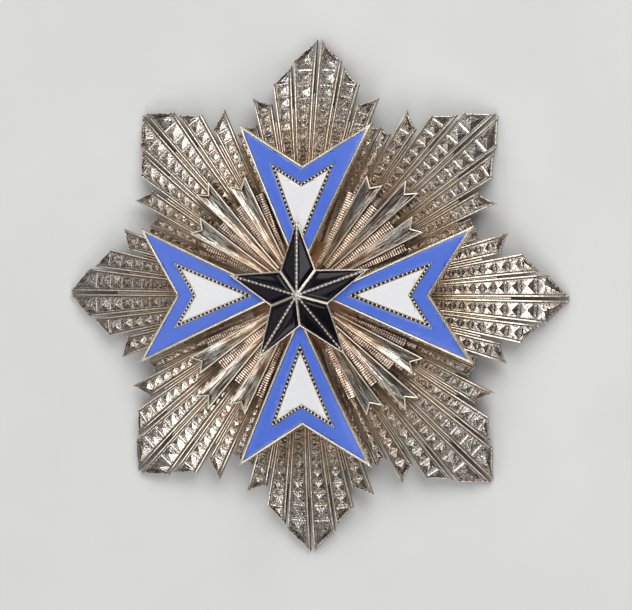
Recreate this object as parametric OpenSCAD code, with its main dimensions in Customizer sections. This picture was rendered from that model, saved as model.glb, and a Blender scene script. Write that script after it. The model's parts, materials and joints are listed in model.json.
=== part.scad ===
// Eight-pointed breast star, lying face up. X and Y lie in the plane of the ray tips, +Z is the front.
// Lengths are in mm, angles in degrees. Z = 0 is the plane that the ray tips rest on.

/* [Ray star] */
// Distance between opposite ray tips
tip_to_tip = 90; // [70:1:110]
// Rise of the domed ray plate from the tips to its middle
dome_rise = 7.4; // [5:0.1:9.5]
// Thickness of the ray plate
plate_thickness = 1.1; // [0.8:0.1:1.6]
// Height of the largest cut studs above the plate
stud_rise = 0.8; // [0.3:0.05:1]
// How far the edges of a ray drop below its middle
edge_drop = 0.25; // [0.1:0.05:0.5]
// How far the bevelled end of a ray drops
tip_drop = 0.4; // [0.1:0.05:0.7]
// Turn of the rays against the cross, anticlockwise seen from the front
ray_turn = -0.8; // [-5:0.1:5]

/* [Inner glory] */
// Width across the longest polished rays, tip to tip
glory_span = 53.2; // [44:0.2:60]
// Height of the milled strips above the ray plate
strip_height = 1.25; // [0.9:0.05:1.5]
// Height of the polished rims above the milled strips
rim_rise = 1; // [0.5:0.05:1.2]
// Depth of the channel between two rims
channel_depth = 0.35; // [0.1:0.05:0.6]

/* [Cross] */
// Distance between the ends of opposite arms
cross_span = 59.6; // [50:0.2:70]
// Width of an arm between its two outer tips
arm_width = 23.8; // [18:0.2:27]
// Height of the hub between the glory and the cross
hub_height = 0.85; // [0.5:0.05:2]
// Rise of the cross from its tips to its middle
cross_rise = 3.9; // [2:0.1:4.2]
// Thickness of the cross
cross_thickness = 1.5; // [1.2:0.1:1.6]
// Depth of the enamel beds
bed_depth = 0.65; // [0.4:0.05:0.8]
// Width of the gilt edge line
edge_line = 0.38; // [0.3:0.02:0.6]
// Width of the gilt line around the darts
dart_line = 0.5; // [0.36:0.02:0.7]

/* [Small star] */
// Width of the small star, from a tip through the middle
small_star_span = 26; // [20:0.5:28]
// Rise of the small star from its inner corners to its middle
small_star_rise = 1.7; // [1:0.1:3]
// Thickness of the small star at its edge
small_star_edge = 0.55; // [0.4:0.05:1]
// Turn of the small star, anticlockwise seen from the front
small_star_turn = 2.3; // [-5:0.1:5]
// Width of its gilt lines on each side of a ridge
ridge_line = 0.26; // [0.2:0.02:0.4]

/* [Back] */
// Distance between the two posts of the pin
post_spacing = 44; // [34:1:46]
// Diameter of a post
post_diameter = 3; // [2:0.1:4]
// Thickness of the foot of a post
foot_thickness = 0.9; // [0.5:0.1:1.5]
// Diameter of the pin wire
pin_wire = 1.3; // [0.9:0.1:1.8]
// Height of the middle of the wire above the plane of the ray tips
pin_height = 1.6; // [1:0.1:2.5]

/* [Fit] */
// Gap between stacked pieces
seat_gap = 0.2; // [0.15:0.01:0.3]
// Gap around each piece of enamel
enamel_gap = 0.06; // [0.04:0.01:0.1]

/* [Hidden] */
$fn = 180;

silver_colour = [0.72, 0.69, 0.64];
gilt_colour = [0.82, 0.68, 0.38];
blue_colour = [0.30, 0.42, 0.85];
white_colour = [0.93, 0.93, 0.90];
black_colour = [0.06, 0.06, 0.08];

tip_radius = tip_to_tip / 2;
group_angle = 45;
group_count = 8;

function sum(list, n) = n <= 0 ? 0 : list[n - 1] + sum(list, n - 1);
function polar(radius, angle, z) = [radius * cos(angle), radius * sin(angle), z];
function quad(a, b, c, d) = [[a, b, c], [a, c, d]];
function flat(lists) = [for (list = lists) for (item = list) item];

// Height of a sphere that drops by `drop` between its top and `reach`, at a distance r from the axis.
function sphere_radius(drop, reach) = (reach * reach + drop * drop) / (2 * drop);
function sphere_drop(r, radius) = radius - sqrt(radius * radius - r * r);

// The plate of the rays: top surface, underside and the studs' height.
dome_radius = sphere_radius(dome_rise, tip_radius);
function plate_top(r) = plate_thickness + dome_rise - sphere_drop(r, dome_radius);
function plate_under(r) = plate_top(r) - plate_thickness;

// Rows across the rays, from the outside in: the stud rows get shorter by a constant ratio.
stud_rows = 11;
row_ratio = 0.9376;
first_row_radius = 0.889 * tip_radius;
inner_ring_radius = 0.22 * tip_radius;
last_row = stud_rows + 2;
function row_radius(row) = row == last_row ? inner_ring_radius : first_row_radius * pow(row_ratio, row - 1);

// Half a group of rays: inner edge angle, outer edge angle, tip radius at the inner edge and at the
// outer edge as shares of tip_radius, and the row that its end takes the place of.
ray_table = [
    [0.35, 5.8, 1, 0.922, 0],
    [6.7, 11.6, 0.9, 0.84, 1],
    [13.2, 18, 0.765, 0.81, 3],
    [19.2, 22.25, 0.7, 0.707, 5]
];
// Row where the slot on the inner side of each of these rays ends, then the one between two groups.
slot_row_table = [3, 4, 5, 6, 7];
ray_order = [3, 2, 1, 0, 0, 1, 2, 3];
rays_in_group = len(ray_order);
ray_count = group_count * rays_in_group;
shoulder_share = 0.15;
end_hollow = 0.013 * tip_radius;

function kind(ray) = ray_order[ray % rays_in_group];
function is_upper(ray) = ray % rays_in_group >= rays_in_group / 2;
function ray_low(ray) = floor(ray / rays_in_group) * group_angle
    + (is_upper(ray) ? ray_table[kind(ray)][0] : -ray_table[kind(ray)][1]);
function ray_high(ray) = floor(ray / rays_in_group) * group_angle
    + (is_upper(ray) ? ray_table[kind(ray)][1] : -ray_table[kind(ray)][0]);
function end_row(ray) = ray_table[kind(ray)][4];
function end_low(ray) = tip_radius * ray_table[kind(ray)][is_upper(ray) ? 2 : 3];
function end_high(ray) = tip_radius * ray_table[kind(ray)][is_upper(ray) ? 3 : 2];
function slot_row_after(ray) = slot_row_table[is_upper(ray) ? kind(ray) + 1 : kind(ray)];

// Six points to a row of a ray: four across the top, two underneath.
row_points = 6;
column_share = [0, shoulder_share, 1 - shoulder_share, 1, 0, 1];
ray_points = [for (k = ray_order) row_points * (last_row - ray_table[k][4] + 1)];
group_points = sum(ray_points, rays_in_group);
ray_cells = [for (k = ray_order) stud_rows - ray_table[k][4]];
group_cells = sum(ray_cells, rays_in_group);
first_apex = group_count * group_points;
centre_top = first_apex + group_count * group_cells;

function point_index(ray, row, column) = floor(ray / rays_in_group) * group_points
    + sum(ray_points, ray % rays_in_group) + (row - end_row(ray)) * row_points + column;
function apex_index(ray, row) = first_apex + floor(ray / rays_in_group) * group_cells
    + sum(ray_cells, ray % rays_in_group) + row - end_row(ray);

function end_radius(ray, share) = end_low(ray) + (end_high(ray) - end_low(ray)) * share
    - 4 * end_hollow * share * (1 - share);
function across_radius(ray, row, share) = row == end_row(ray) ? end_radius(ray, share) : row_radius(row);
function top_drop(ray, row, column) = row == end_row(ray) ? tip_drop
    : (column == 0 || column == 3) ? edge_drop : 0;
function ray_point(ray, row, column) =
    let (
        share = column_share[column],
        angle = ray_low(ray) + (ray_high(ray) - ray_low(ray)) * share,
        radius = across_radius(ray, row, share)
    )
    polar(radius, angle, column > 3 ? plate_under(radius) : plate_top(radius) - top_drop(ray, row, column));

// A stud stands over the middle of its cell, and its height follows the width of the ray.
function apex_point(ray, row) =
    let (
        middle = (ray_low(ray) + ray_high(ray)) / 2,
        inner = row_radius(row + 1),
        outer = across_radius(ray, row, 0.5),
        radius = row == end_row(ray) ? inner + 0.42 * (outer - inner) : (inner + outer) / 2,
        width_share = (ray_high(ray) - ray_low(ray)) / (ray_table[0][1] - ray_table[0][0])
    )
    polar(radius, middle, plate_top(radius) + stud_rise * width_share * min(1, radius / first_row_radius));

function ray_faces(ray) =
    let (p = [for (row = [end_row(ray):last_row]) [for (c = [0:row_points - 1]) point_index(ray, row, c)]])
    flat([
        for (row = [end_row(ray):last_row - 1])
            let (
                a = p[row - end_row(ray)],
                b = p[row + 1 - end_row(ray)],
                peak = apex_index(ray, row)
            )
            flat([
                quad(a[1], a[0], b[0], b[1]),
                quad(a[3], a[2], b[2], b[3]),
                quad(a[4], a[5], b[5], b[4]),
                row < stud_rows
                    ? [[a[2], a[1], peak], [a[1], b[1], peak], [b[1], b[2], peak], [b[2], a[2], peak]]
                    : quad(a[2], a[1], b[1], b[2])
            ])
    ]);

function ray_walls(ray) =
    let (
        before = (ray + ray_count - 1) % ray_count,
        e = end_row(ray),
        high_end = slot_row_after(ray),
        low_end = slot_row_after(before)
    )
    flat([
        [for (row = [e:1:high_end - 1]) for (t = quad(
            point_index(ray, row, 3), point_index(ray, row + 1, 3),
            point_index(ray, row + 1, 5), point_index(ray, row, 5))) t],
        [for (row = [e:1:low_end - 1]) for (t = quad(
            point_index(ray, row + 1, 0), point_index(ray, row, 0),
            point_index(ray, row, 4), point_index(ray, row + 1, 4))) t],
        let (q = [for (c = [0:5]) point_index(ray, e, c)])
        [[q[4], q[0], q[1]], [q[4], q[1], q[2]], [q[4], q[2], q[5]], [q[2], q[3], q[5]]]
    ]);

function groove_faces(ray) =
    let (after = (ray + 1) % ray_count, start = slot_row_after(ray))
    flat([
        for (row = [start:last_row - 1]) flat([
            quad(point_index(after, row, 0), point_index(ray, row, 3),
                point_index(ray, row + 1, 3), point_index(after, row + 1, 0)),
            quad(point_index(ray, row, 5), point_index(after, row, 4),
                point_index(after, row + 1, 4), point_index(ray, row + 1, 5))
        ]),
        quad(point_index(ray, start, 3), point_index(after, start, 0),
            point_index(after, start, 4), point_index(ray, start, 5))
    ]);

function middle_faces(ray) =
    let (after = (ray + 1) % ray_count, q = [for (c = [0:5]) point_index(ray, last_row, c)])
    [
        [q[1], q[0], centre_top], [q[2], q[1], centre_top], [q[3], q[2], centre_top],
        [point_index(after, last_row, 0), q[3], centre_top],
        [q[4], q[5], centre_top + 1], [q[5], point_index(after, last_row, 4), centre_top + 1]
    ];

module ray_star() {
    points = [
        for (ray = [0:ray_count - 1]) for (row = [end_row(ray):last_row])
            for (c = [0:row_points - 1]) ray_point(ray, row, c),
        for (ray = [0:ray_count - 1]) for (row = [end_row(ray):stud_rows - 1]) apex_point(ray, row),
        [0, 0, plate_top(0)],
        [0, 0, plate_under(0)]
    ];
    faces = [
        for (ray = [0:ray_count - 1])
            for (t = flat([ray_faces(ray), ray_walls(ray), groove_faces(ray), middle_faces(ray)])) t
    ];
    color(silver_colour)
        rotate([0, 0, ray_turn])
            polyhedron(points, faces, convexity = 10);
}

// The glory is a plate of columns of points, listed for half a group from its axis outwards:
// angle, height above the strips as a share of rim_rise, end radius as a share of half of glory_span,
// and the row where the surface on its outer side begins.
glory_radius = glory_span / 2;
strip_end = 0.74 * glory_radius;
channel_share = 1 - channel_depth / rim_rise;
glory_table = [
    [0, channel_share, 0.932, 0],
    [3.05, 1, 0.992, 0],
    [3.5, 1, 1, 1],
    [3.85, 0, 0.88, 1],
    [8.75, 0, 0.88, 1],
    [9.1, 1, 0.88, 0],
    [9.55, 1, 0.873, 0],
    [13.3, channel_share, 0.823, 0],
    [17.05, 1, 0.873, 0],
    [17.5, 1, 0.88, 1],
    [17.85, 0, 0.88, 1],
    [22, 0, 0.88, 3],
    [45, 0, 0.88, 3]
];
// The underside clears the studs from the third row outwards.
clear_row = min(0.7 * row_radius(stud_rows), 0.8 * strip_end);
glory_rows = [0, strip_end, clear_row, min(inner_ring_radius, 0.8 * clear_row)];
glory_last = len(glory_rows) - 1;
glory_half = len(glory_table) - 1;
glory_columns = 8 * glory_half;
// Lift of the underside over the studs, row by row.
under_lift = [0.75 * stud_rise, 0.62 * stud_rise, 0, 0];

function glory_entry(column) =
    let (k = column % (2 * glory_half)) glory_table[k <= glory_half ? k : 2 * glory_half - k];
function glory_angle(column) =
    let (quarter = floor(column / (2 * glory_half)), k = column % (2 * glory_half))
    45 + 90 * quarter + (k <= glory_half ? glory_table[k][0] : 90 - glory_table[2 * glory_half - k][0]);
function glory_start(column) =
    let (k = column % (2 * glory_half)) glory_table[k < glory_half ? k : 2 * glory_half - k - 1][3];
function glory_point_radius(column, row) = row == 0 ? glory_radius * glory_entry(column)[2] : glory_rows[row];
function glory_top(column, row) =
    let (r = glory_point_radius(column, row))
    polar(r, glory_angle(column), plate_top(r) + strip_height + rim_rise * glory_entry(column)[1]);
function glory_under(column, row) =
    let (r = glory_point_radius(column, row))
    polar(r, glory_angle(column), plate_top(r) + seat_gap + under_lift[row]);
function glory_index(column, row, side) = ((column % glory_columns) * (glory_last + 1) + row) * 2 + side;

// Points of row 0 exist only beside a surface that starts there; elsewhere row 1 takes their place.
function glory_first(column) = min(glory_start(column), glory_start((column + glory_columns - 1) % glory_columns));
function glory_place(column, row, side) =
    let (from = max(row, glory_first(column)))
    side == 0 ? glory_top(column, from) : glory_under(column, from);

function glory_faces(column) =
    let (
        start = glory_start(column),
        before = glory_start((column + glory_columns - 1) % glory_columns),
        after = column + 1,
        centre = glory_columns * (glory_last + 1) * 2
    )
    flat([
        for (row = [start:1:glory_last - 1]) flat([
            quad(glory_index(after, row, 0), glory_index(column, row, 0),
                glory_index(column, row + 1, 0), glory_index(after, row + 1, 0)),
            quad(glory_index(column, row, 1), glory_index(after, row, 1),
                glory_index(after, row + 1, 1), glory_index(column, row + 1, 1))
        ]),
        quad(glory_index(column, start, 0), glory_index(after, start, 0),
            glory_index(after, start, 1), glory_index(column, start, 1)),
        for (row = [start:1:before - 1])
            quad(glory_index(column, row + 1, 0), glory_index(column, row, 0),
                glory_index(column, row, 1), glory_index(column, row + 1, 1)),
        for (row = [before:1:start - 1])
            quad(glory_index(column, row, 0), glory_index(column, row + 1, 0),
                glory_index(column, row + 1, 1), glory_index(column, row, 1)),
        [
            [glory_index(after, glory_last, 0), glory_index(column, glory_last, 0), centre],
            [glory_index(column, glory_last, 1), glory_index(after, glory_last, 1), centre + 1]
        ]
    ]);

glory_centre_top = plate_top(0) + strip_height + rim_rise;

module inner_glory() {
    points = [
        for (column = [0:glory_columns - 1]) for (row = [0:glory_last]) for (side = [0:1])
            glory_place(column, row, side),
        [0, 0, glory_centre_top],
        [0, 0, plate_top(0) + seat_gap]
    ];
    faces = [for (column = [0:glory_columns - 1]) for (t = glory_faces(column)) t];
    color(silver_colour)
        polyhedron(points, faces, convexity = 10);
}

// Outline of one arm, pointing along +Y, and of the dart in it. Shares of half of cross_span.
arm_length = cross_span / 2;
arm_root = 0.12 * arm_length;
arm_notch = 0.753 * arm_length;
arm_outline = [[0, arm_root], [arm_width / 2, arm_length], [0, arm_notch], [-arm_width / 2, arm_length]];
dart_outline = [
    [0, 0.303 * arm_length],
    [0.437 * arm_width / 2, 0.75 * arm_length],
    [0, 0.643 * arm_length],
    [-0.437 * arm_width / 2, 0.75 * arm_length]
];
hub_radius = 0.165 * arm_length;
neck_y = 0.163 * arm_length;
neck_x = (neck_y - arm_root) * arm_width / 2 / (arm_length - arm_root);

function unit(v) = v / norm(v);
function edge_normal(a, b) = let (d = unit(b - a)) [-d[1], d[0]];
// The outline moved inwards by `distance`; its points run anticlockwise.
function inset(outline, distance) = [
    for (i = [0:len(outline) - 1])
        let (
            n = len(outline),
            before = edge_normal(outline[(i + n - 1) % n], outline[i]),
            after = edge_normal(outline[i], outline[(i + 1) % n])
        )
        outline[i] + distance * (before + after) / (1 + before * after)
];
function turned(point, angle) = [
    point[0] * cos(angle) - point[1] * sin(angle),
    point[0] * sin(angle) + point[1] * cos(angle)
];
cross_outline = [
    for (i = [0:3]) for (p = [
        [neck_x, neck_y], arm_outline[1], arm_outline[2], arm_outline[3], [-neck_x, neck_y],
        [-hub_radius * sin(45), hub_radius * cos(45)]
    ]) turned(p, 90 * i)
];

cross_under = glory_centre_top + seat_gap + hub_height;
cross_height = cross_under + cross_thickness;
cross_radius = sphere_radius(cross_rise, norm([arm_width / 2, arm_length]));
function cross_top(r) = cross_height - sphere_drop(r, cross_radius);
cross_ceiling = cross_height + 1;

// A ball that is `depth` smaller than the one of the cross's front.
module cross_ball(depth) {
    translate([0, 0, cross_height - cross_radius])
        rotate([90, 0, 0])
            sphere(r = cross_radius - depth, $fn = 360);
}

// A plane figure cut to a layer of the cross between two depths.
module cross_layer(outer_depth, inner_depth) {
    difference() {
        intersection() {
            linear_extrude(height = cross_ceiling)
                children();
            cross_ball(outer_depth);
        }
        cross_ball(inner_depth);
    }
}

module blue_field(gap) {
    difference() {
        polygon(inset(arm_outline, edge_line + gap));
        polygon(inset(dart_outline, -dart_line / 2 - gap));
    }
}

module white_field(gap) {
    polygon(inset(dart_outline, dart_line / 2 + gap));
}

module cross_frame() {
    color(gilt_colour)
        difference() {
            union() {
                cross_layer(0, cross_thickness)
                    polygon(cross_outline);
                translate([0, 0, glory_centre_top + seat_gap])
                    cylinder(r = 0.9 * hub_radius, h = hub_height + cross_thickness / 2, $fn = 64);
            }
            for (i = [0:3]) {
                rotate([0, 0, 90 * i])
                    bed(0);
            }
        }
}

// The two beds of an arm reach above the front so that the cut is open.
module bed(gap) {
    difference() {
        linear_extrude(height = cross_ceiling)
            blue_field(gap);
        cross_ball(bed_depth);
    }
    difference() {
        linear_extrude(height = cross_ceiling)
            white_field(gap);
        cross_ball(bed_depth);
    }
}

module blue_enamel(i) {
    color(blue_colour)
        rotate([0, 0, 90 * i])
            cross_layer(enamel_gap / 2, bed_depth - enamel_gap)
                blue_field(enamel_gap);
}

module white_enamel(i) {
    color(white_colour)
        rotate([0, 0, 90 * i])
            cross_layer(enamel_gap / 2, bed_depth - enamel_gap)
                white_field(enamel_gap);
}

// The small star: five tips, five inner corners, ridges from the middle to each of them.
star_radius = small_star_span / 2;
corner_radius = 0.405 * star_radius;
star_facets = 10;
facet_bed = 0.3;
function rim_radius(k) = k % 2 == 0 ? star_radius : corner_radius;
function rim_angle(k) = 90 + small_star_turn + 36 * k;
function rim_under(k) = polar(rim_radius(k), rim_angle(k), cross_top(rim_radius(k)) + seat_gap);
star_apex = [0, 0, cross_height + seat_gap + small_star_edge + small_star_rise];
function rim_top(k) = rim_under(k % star_facets) + [0, 0, small_star_edge];

// The three corners of a facet moved in along its own plane.
function facet_inset(a, b, c, distance) =
    let (
        la = norm(b - c),
        lb = norm(c - a),
        lc = norm(a - b),
        middle = (la * a + lb * b + lc * c) / (la + lb + lc),
        area = norm(cross(b - a, c - a)) / 2,
        share = 1 - distance * (la + lb + lc) / (2 * area)
    )
    [for (p = [a, b, c]) middle + (p - middle) * share];
function facet(k, distance) = facet_inset(star_apex, rim_top(k), rim_top(k + 1), distance);

module star_frame() {
    rim = star_facets;
    points = [
        star_apex,
        for (k = [0:rim - 1]) rim_top(k),
        for (k = [0:rim - 1]) rim_under(k),
        for (k = [0:rim - 1]) for (p = facet(k, ridge_line)) p,
        for (k = [0:rim - 1]) for (p = facet(k, ridge_line)) p - [0, 0, facet_bed],
        [0, 0, cross_height + seat_gap]
    ];
    first_line = 1 + 2 * rim;
    first_floor = first_line + 3 * rim;
    centre = first_floor + 3 * rim;
    faces = [for (k = [0:rim - 1])
        let (
            n = (k + 1) % rim,
            edge = [0, 1 + k, 1 + n],
            line = [for (j = [0:2]) first_line + 3 * k + j],
            bed = [for (j = [0:2]) first_floor + 3 * k + j]
        )
        for (t = flat([
            for (j = [0:2])
                let (m = (j + 1) % 3)
                flat([quad(edge[m], edge[j], line[j], line[m]), quad(line[m], line[j], bed[j], bed[m])]),
            [[bed[2], bed[1], bed[0]]],
            quad(1 + k, 1 + n, 1 + rim + n, 1 + rim + k),
            [[1 + rim + k, 1 + rim + n, centre]]
        ])) t
    ];
    color(gilt_colour)
        polyhedron(points, faces, convexity = 6);
}

module black_enamel(k) {
    corners = facet(k, ridge_line + enamel_gap);
    points = [
        for (p = corners) p - [0, 0, enamel_gap / 2],
        for (p = corners) p - [0, 0, facet_bed - enamel_gap]
    ];
    color(black_colour)
        polyhedron(points, [
            [2, 1, 0], [3, 4, 5],
            [0, 1, 4], [0, 4, 3], [1, 2, 5], [1, 5, 4], [2, 0, 3], [2, 3, 5]
        ]);
}

// The pin lies in the hollow of the dome, along Y.
post_y = post_spacing / 2;
foot_radius = 1.1 * post_diameter;

module back_pin() {
    color(silver_colour)
        intersection() {
            union() {
                for (side = [-1, 1]) {
                    translate([0, side * post_y, pin_height - pin_wire / 2])
                        cylinder(d = post_diameter, h = dome_rise, $fn = 48);
                    translate([0, side * post_y, plate_under(post_y) - foot_thickness])
                        cylinder(r = foot_radius, h = dome_rise, $fn = 64);
                }
                translate([0, -post_y, pin_height])
                    rotate([-90, 0, 0])
                        cylinder(d = pin_wire, h = post_spacing, $fn = 32);
            }
            translate([0, 0, dome_rise - seat_gap - dome_radius])
                rotate([90, 0, 0])
                    sphere(r = dome_radius, $fn = 360);
        }
}

ray_star();
inner_glory();
cross_frame();
blue_enamel(0);  // blue_enamel_1
blue_enamel(1);  // blue_enamel_2
blue_enamel(2);  // blue_enamel_3
blue_enamel(3);  // blue_enamel_4
white_enamel(0);  // white_enamel_1
white_enamel(1);  // white_enamel_2
white_enamel(2);  // white_enamel_3
white_enamel(3);  // white_enamel_4
star_frame();
black_enamel(0);  // black_enamel_1
black_enamel(1);  // black_enamel_2
black_enamel(2);  // black_enamel_3
black_enamel(3);  // black_enamel_4
black_enamel(4);  // black_enamel_5
black_enamel(5);  // black_enamel_6
black_enamel(6);  // black_enamel_7
black_enamel(7);  // black_enamel_8
black_enamel(8);  // black_enamel_9
black_enamel(9);  // black_enamel_10
back_pin();
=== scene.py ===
import json
import math
import random

import bmesh
import bpy
from mathutils import Matrix, Quaternion, Vector


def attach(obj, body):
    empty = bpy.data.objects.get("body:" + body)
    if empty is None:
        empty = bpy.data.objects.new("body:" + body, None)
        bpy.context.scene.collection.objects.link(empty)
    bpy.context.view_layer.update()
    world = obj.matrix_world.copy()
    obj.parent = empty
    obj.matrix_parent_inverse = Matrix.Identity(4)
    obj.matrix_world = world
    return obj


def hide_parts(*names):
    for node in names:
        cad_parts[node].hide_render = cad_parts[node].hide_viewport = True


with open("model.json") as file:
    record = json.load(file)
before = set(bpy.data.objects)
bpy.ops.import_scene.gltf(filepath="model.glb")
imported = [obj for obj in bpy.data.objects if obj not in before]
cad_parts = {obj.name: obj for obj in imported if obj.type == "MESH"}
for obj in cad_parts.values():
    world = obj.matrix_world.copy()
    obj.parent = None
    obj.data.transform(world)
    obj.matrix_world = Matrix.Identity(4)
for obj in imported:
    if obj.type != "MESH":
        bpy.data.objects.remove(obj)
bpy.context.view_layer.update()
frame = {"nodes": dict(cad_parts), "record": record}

# Shapes are built in millimetres and brought to metres when a piece is finished.
mm = 0.001
nodes = frame["nodes"]


def radius(v):
    return math.hypot(v.co.x, v.co.y)


def polar(r, angle, z):
    return Vector((r * math.cos(math.radians(angle)), r * math.sin(math.radians(angle)), z))


def blend(a, b, share):
    return a + (b - a) * share


def limited(value, low=0.0, high=1.0):
    return max(low, min(high, value))


def sphereDrop(r, ball):
    return ball - math.sqrt(ball * ball - r * r)


def along(points, at):
    # Height at a place on a line of (place, height) points.
    for (a, low), (b, high) in zip(points, points[1:]):
        if at <= b:
            return blend(low, high, (at - a) / (b - a))
    return points[-1][1]


def everything(bm):
    return bm.verts[:] + bm.edges[:] + bm.faces[:]


def newMesh():
    bm = bmesh.new()
    bm.faces.layers.int.new("mark")
    bm.verts.layers.float.new("grime")
    return bm


def gridOf(columns, lines, kept, marked):
    # A flat grid: faces that kept() refuses are returned, and faces that marked() names carry a mark.
    bm = newMesh()
    bmesh.ops.create_grid(bm, x_segments=columns - 1, y_segments=lines - 1, size=1)
    mark = bm.faces.layers.int["mark"]
    gone = []
    for face in bm.faces:
        middle = face.calc_center_median()
        column = int((middle.x + 1) / 2 * (columns - 1))
        line = int((middle.y + 1) / 2 * (lines - 1))
        face[mark] = marked(column, line)
        if not kept(column, line):
            gone.append(face)
    return bm, gone


def placeGrid(bm, columns, lines, place):
    for v in bm.verts:
        column = round((v.co.x + 1) / 2 * (columns - 1))
        line = round((v.co.y + 1) / 2 * (lines - 1))
        v.co = place(column, line)


def copyRound(bm, count):
    bmesh.ops.spin(bm, geom=everything(bm), cent=(0, 0, 0), axis=(0, 0, 1), dvec=(0, 0, 0),
                   angle=2 * math.pi / count * (count - 1), steps=count - 1, use_duplicate=True)


def repeatRound(bm, count):
    # The half group is mirrored to a whole one and turned into all its places.
    bmesh.ops.mirror(bm, geom=everything(bm), matrix=Matrix(), merge_dist=0.001, axis="Y")
    copyRound(bm, count)
    bmesh.ops.remove_doubles(bm, verts=bm.verts[:], dist=0.002)


def turnPiece(bm, angle):
    turned = Matrix.Rotation(math.radians(angle), 3, "Z")
    bmesh.ops.rotate(bm, verts=bm.verts[:], cent=(0, 0, 0), matrix=turned)


def closeUnder(bm, faces, underHeight):
    # Walls go down from every edge of a sheet to an underside, whose points come back as a set.
    mark = bm.faces.layers.int["mark"]
    made = bmesh.ops.extrude_face_region(bm, geom=faces, use_keep_orig=True)["geom"]
    under = {g for g in made if isinstance(g, bmesh.types.BMVert)}
    for v in under:
        v.co.z = underHeight(v)
    for face in made:
        if isinstance(face, bmesh.types.BMFace):
            face[mark] = 0
    bmesh.ops.recalc_face_normals(bm, faces=bm.faces[:])
    return under


def addWire(bm, a, b, size):
    # A straight round wire between two points.
    made = bmesh.ops.create_cone(bm, segments=10, radius1=size, radius2=size, depth=(b - a).length,
                                 cap_ends=True)["verts"]
    bmesh.ops.rotate(bm, verts=made, cent=(0, 0, 0), matrix=(b - a).to_track_quat("Z", "X").to_matrix())
    bmesh.ops.translate(bm, verts=made, vec=(a + b) / 2)
    return made


def addBall(bm, place, size, around=8, down=5):
    made = bmesh.ops.create_uvsphere(bm, u_segments=around, v_segments=down, radius=size)["verts"]
    bmesh.ops.translate(bm, vec=place, verts=made)


def finishPiece(bm, name, material, replaced=(), smooth=None):
    bmesh.ops.scale(bm, vec=(mm, mm, mm), verts=bm.verts[:])
    mesh = bpy.data.meshes.new(name)
    bm.to_mesh(mesh)
    bm.free()
    piece = bpy.data.objects.new(name, mesh)
    bpy.context.scene.collection.objects.link(piece)
    mesh.materials.append(material)
    if smooth:
        mesh.polygons.foreach_set("use_smooth", [True] * len(mesh.polygons))
        mesh.set_sharp_from_angle(angle=math.radians(smooth))
    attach(piece, "root")
    if replaced:
        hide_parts(*replaced)
    mesh.calc_loop_triangles()
    print(name, len(mesh.loop_triangles), "triangles")
    return piece


class Finish:
    # A Principled material with a few shorthands for the nodes in front of it.
    def __init__(self, name, **values):
        self.material = bpy.data.materials.new(name)
        self.material.use_nodes = True
        self.tree = self.material.node_tree
        self.shader = self.tree.nodes["Principled BSDF"]
        for socket, value in values.items():
            self.shader.inputs[socket.replace("_", " ")].default_value = value
        self.place = self.tree.nodes.new("ShaderNodeTexCoord").outputs["Object"]

    def node(self, kind, **settings):
        made = self.tree.nodes.new("ShaderNode" + kind)
        for key, value in settings.items():
            setattr(made, key, value)
        return made

    def join(self, source, socket):
        self.tree.links.new(source, socket)

    def math(self, operation, a, b, clamp=False):
        made = self.node("Math", operation=operation, use_clamp=clamp)
        for socket, value in zip(made.inputs, (a, b)):
            if isinstance(value, (int, float)):
                socket.default_value = value
            else:
                self.join(value, socket)
        return made.outputs[0]

    def noise(self, scale, detail=3.0, roughness=0.55, where=None):
        made = self.node("TexNoise")
        made.inputs["Scale"].default_value = scale
        made.inputs["Detail"].default_value = detail
        made.inputs["Roughness"].default_value = roughness
        self.join(where or self.place, made.inputs["Vector"])
        return made.outputs["Fac"]

    def span(self, source, low, high, outLow=0.0, outHigh=1.0):
        made = self.node("MapRange")
        for key, value in (("From Min", low), ("From Max", high), ("To Min", outLow), ("To Max", outHigh)):
            made.inputs[key].default_value = value
        self.join(source, made.inputs["Value"])
        return made.outputs["Result"]

    def mix(self, share, a, b):
        made = self.node("Mix", data_type="RGBA")
        self.join(share, made.inputs[0])
        for socket, value in ((made.inputs[6], a), (made.inputs[7], b)):
            if isinstance(value, tuple):
                socket.default_value = (*value, 1)
            else:
                self.join(value, socket)
        return made.outputs[2]

    def fromMiddle(self):
        flat = self.node("VectorMath", operation="MULTIPLY")
        flat.inputs[1].default_value = (1, 1, 0)
        self.join(self.place, flat.inputs[0])
        length = self.node("VectorMath", operation="LENGTH")
        self.join(flat.outputs[0], length.inputs[0])
        return length.outputs["Value"]

    def alongRays(self, across, lengthwise):
        # Coordinates that run round the star and outwards, for marks that follow the rays.
        parts = self.node("SeparateXYZ")
        self.join(self.place, parts.inputs[0])
        angle = self.math("ARCTAN2", parts.outputs[1], parts.outputs[0])
        joined = self.node("CombineXYZ")
        self.join(self.math("MULTIPLY", angle, across), joined.inputs[0])
        self.join(self.math("MULTIPLY", self.fromMiddle(), lengthwise), joined.inputs[1])
        return joined.outputs[0]

    def attribute(self, name):
        return self.node("Attribute", attribute_name=name).outputs["Fac"]

    def bump(self, height, strength, distance):
        made = self.node("Bump")
        made.inputs["Strength"].default_value = strength
        made.inputs["Distance"].default_value = distance
        self.join(height, made.inputs["Height"])
        self.join(made.outputs["Normal"], self.shader.inputs["Normal"])

    def colour(self, source):
        self.join(source, self.shader.inputs["Base Color"])

    def roughness(self, source):
        self.join(source, self.shader.inputs["Roughness"])


silver = {
    "facet": (0.88, 0.84, 0.775),
    "warmFacet": (0.74, 0.62, 0.51),
    "line": (0.92, 0.86, 0.76),
    "warmLine": (0.86, 0.70, 0.53),
    # the dark of painted shade (in the grooves partly tarnish), and a warmer dark near the middle
    "grime": (0.10, 0.062, 0.042),
    "innerShadeAndGrime": (0.25, 0.13, 0.06),
    "lineSpecks": 0.4,
    "lineRoughness": 0.24,
    "shadeAndGrimeInside": 0.023,
    "shadeAndGrimeOutside": 0.030,
    "warmInside": 0.018,
    "warmOutside": 0.040,
    "pitting": 0.00009,
}


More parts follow.
